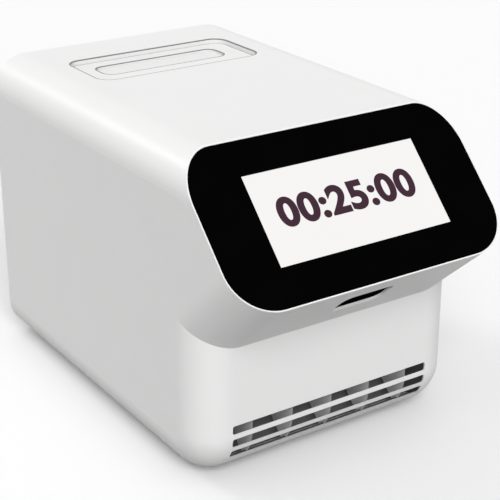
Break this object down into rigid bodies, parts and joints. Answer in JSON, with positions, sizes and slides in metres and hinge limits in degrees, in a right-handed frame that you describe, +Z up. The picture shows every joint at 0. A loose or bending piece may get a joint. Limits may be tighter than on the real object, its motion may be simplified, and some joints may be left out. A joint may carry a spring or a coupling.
{
  "type": "rapid test reader",
  "caption": "Bench rapid test reader: rounded white housing, slanted glass display, flapped cartridge slot in the top, chin scanner window, low intake slots and a fan-cooled rear panel.",
  "frame": {"origin": "on the surface that it stands on, under the middle of its outline", "axes": "+Z up, front with the display faces -Y, +X to the right as the user faces the display"},
  "size_m": [0.176, 0.2794, 0.188],
  "materials": {
    "shell_white": "satin moulded",
    "panel_grey": "fine texture",
    "flap_white": "satin moulded",
    "cover_glass": "printed black behind gloss glass",
    "screen_lit": "lit display",
    "module_metal": "sheet",
    "sheet_steel": "zinc plated",
    "foam_black": "foam",
    "board_green": "solder mask",
    "window_dark": "dark filter",
    "case_black": "fine texture",
    "duct_dark": "matt",
    "rib_grey": "matt",
    "rubber_grey": "matt",
    "steel_bright": "ground",
    "spring_steel": "wire",
    "chute_grey": "satin",
    "lens_clear": "polished",
    "heat_alu": "anodised",
    "brass_plain": "turned",
    "socket_metal": "folded",
    "ribbon_white": "flat cable"
  },
  "bodies": {
    "reader": {"housing": "shell_white", "display_glass": "cover_glass", "display_gasket": "foam_black", "display_screen": "screen_lit", "display_module": "module_metal", "display_bracket": "sheet_steel", "display_board": "board_green", "display_ribbon": "ribbon_white", "scan_window": "window_dark", "scanner": "case_black", "scanner_bracket": "sheet_steel", "vent_duct": "duct_dark", "vent_ribs": "rib_grey", "speaker": "case_black", "flap_pin": "steel_bright", "flap_spring": "spring_steel", "cartridge_chute": "chute_grey", "optics_body": "case_black", "optics_lens": "lens_clear", "camera_board": "board_green", "heater": "heat_alu", "reader_frame": "sheet_steel", "chassis_tray": "sheet_steel", "tray_screws": "steel_bright", "board_standoffs": "brass_plain", "main_board": "board_green", "processor_sink": "heat_alu", "power_module": "case_black", "rear_panel": "panel_grey", "rear_screws": "steel_bright", "power_jack": "case_black", "usb_socket": "socket_metal", "lan_socket": "socket_metal", "fan_frame": "case_black", "fan_guard": "steel_bright", "fan_screws": "steel_bright", "switch_body": "case_black", "foot_front_left": "rubber_grey", "foot_rear_left": "rubber_grey", "foot_front_right": "rubber_grey", "foot_rear_right": "rubber_grey"},
    "flap": {"slot_flap": "flap_white"},
    "fan": {"fan_rotor": "case_black"},
    "rocker": {"power_rocker": "case_black"}
  },
  "joints": [
    {"name": "flap_hinge", "type": "hinge", "parent": "reader", "child": "flap", "pos_m": [0, 0.0944, 0.1799], "axis": [1, 0, 0], "range_deg": [0, 82], "stiffness_Nm_per_rad": 0.0015, "springref_deg": -57.3},
    {"name": "fan_spin", "type": "hinge", "parent": "reader", "child": "fan", "pos_m": [-0.028, 0.1252, 0.118], "axis": [0, 1, 0], "continuous": true},
    {"name": "rocker_pivot", "type": "hinge", "parent": "reader", "child": "rocker", "pos_m": [0.052, 0.1332, 0.062], "axis": [1, 0, 0], "range_deg": [0, 18]}
  ]
}
